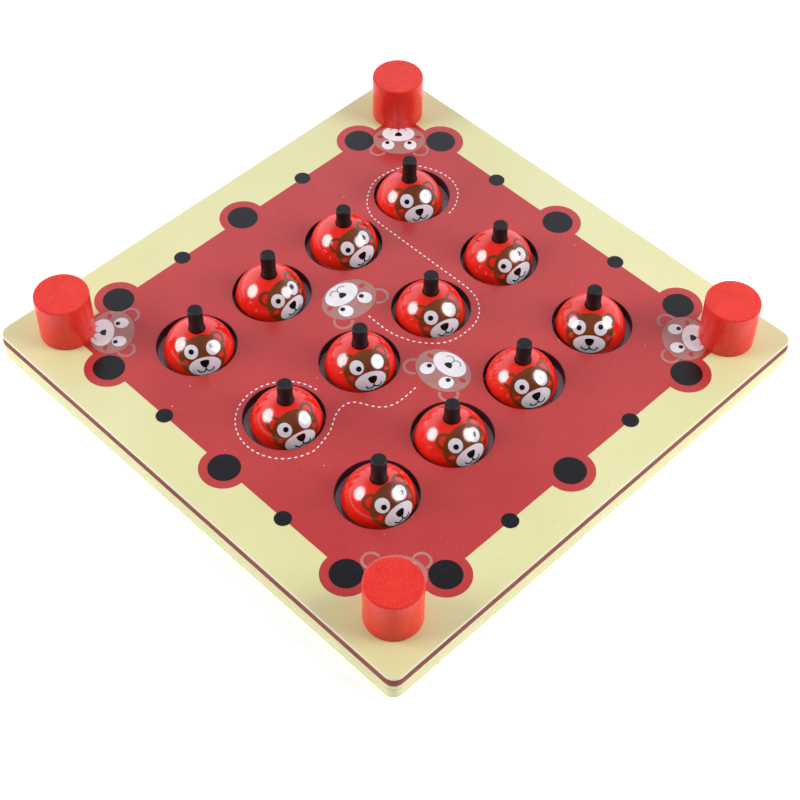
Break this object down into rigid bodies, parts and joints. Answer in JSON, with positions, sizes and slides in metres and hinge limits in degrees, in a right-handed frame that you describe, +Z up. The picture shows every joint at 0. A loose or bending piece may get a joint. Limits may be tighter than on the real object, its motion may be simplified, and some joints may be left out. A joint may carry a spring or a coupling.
{
  "type": "wooden memory matching board game",
  "caption": "Square wooden game board with round wells that hold loose bear-faced dome pawns on black stems, and a round post near each corner.",
  "frame": {"origin": "middle of the board's footprint, on its underside", "axes": "+Z up out of the board, +X along the rows of wells, +Y across the rows"},
  "size_m": [0.24, 0.24, 0.0362],
  "materials": {
    "panel_edge": "lacquered fibreboard edge, satin",
    "well_floor": "grey-painted fibreboard, satin",
    "cream_paint": "cream lacquer on fibreboard, satin",
    "post_red": "gloss red lacquer on solid wood",
    "dome_red": "high-gloss red lacquer on solid wood",
    "stem_black": "black lacquer on a wooden dowel, satin",
    "screw_steel": "bright zinc-plated steel",
    "ink_red": "screen-printed ink, satin",
    "ink_black": "screen-printed ink, satin",
    "ink_pink": "screen-printed ink, satin",
    "ink_brown": "pad-printed ink under gloss lacquer",
    "ink_white": "printed ink, satin",
    "disc_yellow": "matt paint on a thin wooden disc",
    "disc_blue": "matt paint on a thin wooden disc",
    "disc_green": "matt paint on a thin wooden disc",
    "disc_orange": "matt paint on a thin wooden disc",
    "disc_purple": "matt paint on a thin wooden disc",
    "disc_white": "matt paint on a thin wooden disc"
  },
  "bodies": {
    "board": {"upper_panel": "panel_edge", "middle_panel": "well_floor", "base_panel": "cream_paint", "post_front": "post_red", "post_right": "post_red", "post_back": "post_red", "post_left": "post_red", "post_screws": "screw_steel"},
    "pawn_01_core": {"pawn_01_stem": "stem_black"},
    "pawn_01_shell": {"pawn_01_dome": "dome_red", "pawn_01_disc": "disc_white"},
    "pawn_02_core": {"pawn_02_stem": "stem_black"},
    "pawn_02_shell": {"pawn_02_dome": "dome_red", "pawn_02_disc": "disc_purple"},
    "pawn_03_core": {"pawn_03_stem": "stem_black"},
    "pawn_03_shell": {"pawn_03_dome": "dome_red", "pawn_03_disc": "disc_orange"},
    "pawn_04_core": {"pawn_04_stem": "stem_black"},
    "pawn_04_shell": {"pawn_04_dome": "dome_red", "pawn_04_disc": "disc_green"},
    "pawn_05_core": {"pawn_05_stem": "stem_black"},
    "pawn_05_shell": {"pawn_05_dome": "dome_red", "pawn_05_disc": "disc_blue"},
    "pawn_06_core": {"pawn_06_stem": "stem_black"},
    "pawn_06_shell": {"pawn_06_dome": "dome_red", "pawn_06_disc": "disc_yellow"},
    "pawn_07_core": {"pawn_07_stem": "stem_black"},
    "pawn_07_shell": {"pawn_07_dome": "dome_red", "pawn_07_disc": "disc_white"},
    "pawn_08_core": {"pawn_08_stem": "stem_black"},
    "pawn_08_shell": {"pawn_08_dome": "dome_red", "pawn_08_disc": "disc_purple"},
    "pawn_09_core": {"pawn_09_stem": "stem_black"},
    "pawn_09_shell": {"pawn_09_dome": "dome_red", "pawn_09_disc": "disc_orange"},
    "pawn_10_core": {"pawn_10_stem": "stem_black"},
    "pawn_10_shell": {"pawn_10_dome": "dome_red", "pawn_10_disc": "disc_green"},
    "pawn_11_core": {"pawn_11_stem": "stem_black"},
    "pawn_11_shell": {"pawn_11_dome": "dome_red", "pawn_11_disc": "disc_blue"},
    "pawn_12_core": {"pawn_12_stem": "stem_black"},
    "pawn_12_shell": {"pawn_12_dome": "dome_red", "pawn_12_disc": "disc_yellow"}
  },
  "joints": [
    {"name": "pawn_01_lift", "type": "slide", "parent": "board", "child": "pawn_01_core", "axis": [0, 0, 1], "range_m": [0, 0.04]},
    {"name": "pawn_01_turn", "type": "hinge", "parent": "pawn_01_core", "child": "pawn_01_shell", "pos_m": [-0.06375, -0.0547, 0.01], "axis": [0, 0, 1], "continuous": true},
    {"name": "pawn_02_lift", "type": "slide", "parent": "board", "child": "pawn_02_core", "axis": [0, 0, 1], "range_m": [0, 0.04]},
    {"name": "pawn_02_turn", "type": "hinge", "parent": "pawn_02_core", "child": "pawn_02_shell", "pos_m": [-0.02185, -0.0538, 0.01], "axis": [0, 0, 1], "continuous": true},
    {"name": "pawn_03_lift", "type": "slide", "parent": "board", "child": "pawn_03_core", "axis": [0, 0, 1], "range_m": [0, 0.04]},
    {"name": "pawn_03_turn", "type": "hinge", "parent": "pawn_03_core", "child": "pawn_03_shell", "pos_m": [0.02135, -0.0529, 0.01], "axis": [0, 0, 1], "continuous": true},
    {"name": "pawn_04_lift", "type": "slide", "parent": "board", "child": "pawn_04_core", "axis": [0, 0, 1], "range_m": [0, 0.04]},
    {"name": "pawn_04_turn", "type": "hinge", "parent": "pawn_04_core", "child": "pawn_04_shell", "pos_m": [0.06495, -0.053, 0.01], "axis": [0, 0, 1], "continuous": true},
    {"name": "pawn_05_lift", "type": "slide", "parent": "board", "child": "pawn_05_core", "axis": [0, 0, 1], "range_m": [0, 0.04]},
    {"name": "pawn_05_turn", "type": "hinge", "parent": "pawn_05_core", "child": "pawn_05_shell", "pos_m": [-0.06315, 0, 0.01], "axis": [0, 0, 1], "continuous": true},
    {"name": "pawn_06_lift", "type": "slide", "parent": "board", "child": "pawn_06_core", "axis": [0, 0, 1], "range_m": [0, 0.04]},
    {"name": "pawn_06_turn", "type": "hinge", "parent": "pawn_06_core", "child": "pawn_06_shell", "pos_m": [-0.02065, 0.0005, 0.01], "axis": [0, 0, 1], "continuous": true},
    {"name": "pawn_07_lift", "type": "slide", "parent": "board", "child": "pawn_07_core", "axis": [0, 0, 1], "range_m": [0, 0.04]},
    {"name": "pawn_07_turn", "type": "hinge", "parent": "pawn_07_core", "child": "pawn_07_shell", "pos_m": [0.02145, 0.0007, 0.01], "axis": [0, 0, 1], "continuous": true},
    {"name": "pawn_08_lift", "type": "slide", "parent": "board", "child": "pawn_08_core", "axis": [0, 0, 1], "range_m": [0, 0.04]},
    {"name": "pawn_08_turn", "type": "hinge", "parent": "pawn_08_core", "child": "pawn_08_shell", "pos_m": [0.06535, 0.0016, 0.01], "axis": [0, 0, 1], "continuous": true},
    {"name": "pawn_09_lift", "type": "slide", "parent": "board", "child": "pawn_09_core", "axis": [0, 0, 1], "range_m": [0, 0.04]},
    {"name": "pawn_09_turn", "type": "hinge", "parent": "pawn_09_core", "child": "pawn_09_shell", "pos_m": [-0.06345, 0.0545, 0.01], "axis": [0, 0, 1], "continuous": true},
    {"name": "pawn_10_lift", "type": "slide", "parent": "board", "child": "pawn_10_core", "axis": [0, 0, 1], "range_m": [0, 0.04]},
    {"name": "pawn_10_turn", "type": "hinge", "parent": "pawn_10_core", "child": "pawn_10_shell", "pos_m": [-0.02125, 0.0562, 0.01], "axis": [0, 0, 1], "continuous": true},
    {"name": "pawn_11_lift", "type": "slide", "parent": "board", "child": "pawn_11_core", "axis": [0, 0, 1], "range_m": [0, 0.04]},
    {"name": "pawn_11_turn", "type": "hinge", "parent": "pawn_11_core", "child": "pawn_11_shell", "pos_m": [0.02295, 0.0561, 0.01], "axis": [0, 0, 1], "continuous": true},
    {"name": "pawn_12_lift", "type": "slide", "parent": "board", "child": "pawn_12_core", "axis": [0, 0, 1], "range_m": [0, 0.04]},
    {"name": "pawn_12_turn", "type": "hinge", "parent": "pawn_12_core", "child": "pawn_12_shell", "pos_m": [0.06345, 0.0556, 0.01], "axis": [0, 0, 1], "continuous": true}
  ]
}
